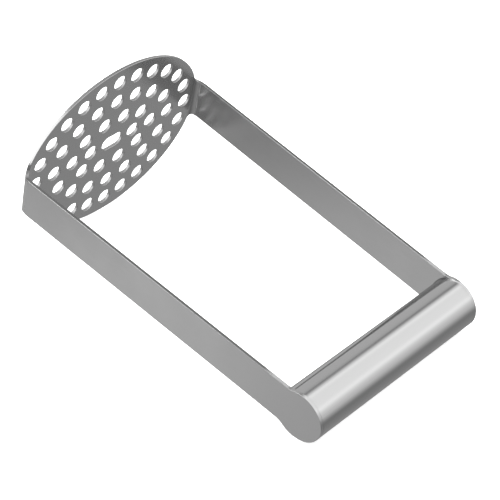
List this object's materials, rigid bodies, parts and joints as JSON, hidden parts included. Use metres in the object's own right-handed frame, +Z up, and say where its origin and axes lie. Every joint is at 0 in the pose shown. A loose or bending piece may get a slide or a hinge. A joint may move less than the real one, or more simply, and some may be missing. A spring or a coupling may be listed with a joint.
{
  "type": "potato masher",
  "caption": "Potato masher press: flat oval perforated plate, two strap arms bent from the same sheet, and a hollow bar handle welded between their round ends.",
  "frame": {"origin": "on the table under the middle of the masher as it lies on its plate's rim and the arms' round ends", "axes": "+X along the handle, from the left arm to the right arm; +Y from the handle to the plate; +Z up. The arms rise 10.0 degrees from the handle to the plate."},
  "size_m": [0.0998, 0.165, 0.0765],
  "materials": {
    "satin_sheet": "fine satin stainless sheet, deburred edges",
    "polished_tube": "polished stainless tube, faintly drawn round",
    "ground_weld": "weld ground flush and polished"
  },
  "bodies": {
    "root": {"masher_head": "satin_sheet", "handle_tube": "polished_tube", "weld_left": "ground_weld", "weld_right": "ground_weld"}
  },
  "joints": []
}
